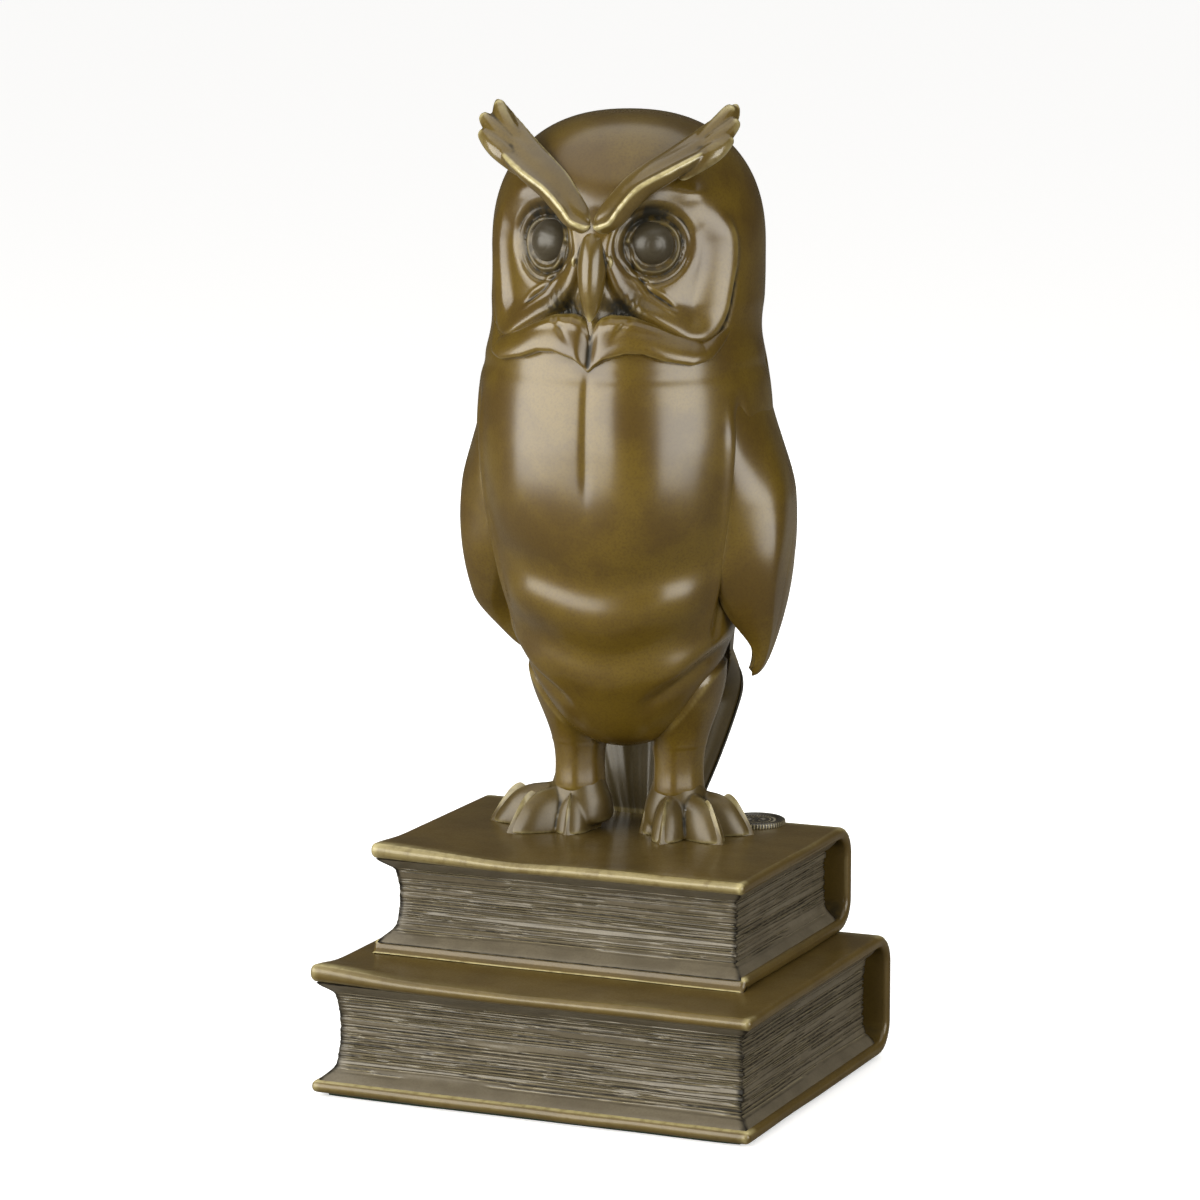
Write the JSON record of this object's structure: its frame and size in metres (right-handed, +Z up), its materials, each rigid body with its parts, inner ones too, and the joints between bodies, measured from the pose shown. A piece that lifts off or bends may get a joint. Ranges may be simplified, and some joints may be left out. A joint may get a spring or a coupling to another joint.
{
  "type": "owl figurine",
  "caption": "Cast bronze owl with raised ear tufts and folded wings, standing on a stack of closed books, for a shelf or desk.",
  "frame": {"origin": "centre of the felt underside, on the surface that the figurine stands on", "axes": "+Z up, -Y towards the books' fore edges, +X along the books towards the viewer's right; the owl is turned 8 degrees towards +X"},
  "size_m": [0.134, 0.1165, 0.28],
  "materials": {
    "felt": "felt",
    "cover_bronze": "waxed brown patina, worn edges",
    "page_bronze": "satin grey-brown patina",
    "seal_bronze": "satin brown patina",
    "owl_bronze": "waxed olive-brown patina",
    "worn_bronze": "waxed patina rubbed to pale gold",
    "dark_bronze": "dark waxed patina",
    "foot_bronze": "waxed patina with dark hollows",
    "steel": "zinc plated"
  },
  "bodies": {
    "root": {"felt_pad": "felt", "lower_book_cover": "cover_bronze", "lower_book_pages": "page_bronze", "upper_book_cover": "cover_bronze", "upper_book_pages": "page_bronze", "foundry_seal": "seal_bronze", "torso_shell": "owl_bronze", "head_shell": "owl_bronze", "neck_ruff": "owl_bronze", "brow_tuft_left": "worn_bronze", "brow_tuft_right": "worn_bronze", "eye_left": "dark_bronze", "eye_right": "dark_bronze", "beak": "worn_bronze", "wing_left": "owl_bronze", "wing_right": "owl_bronze", "tail": "owl_bronze", "leg_left": "owl_bronze", "leg_right": "owl_bronze", "foot_left": "foot_bronze", "foot_right": "foot_bronze", "foot_studs": "steel", "foot_washers": "steel", "foot_nuts": "steel", "book_bolts": "steel", "book_washers": "steel", "book_nuts": "steel"}
  },
  "joints": []
}
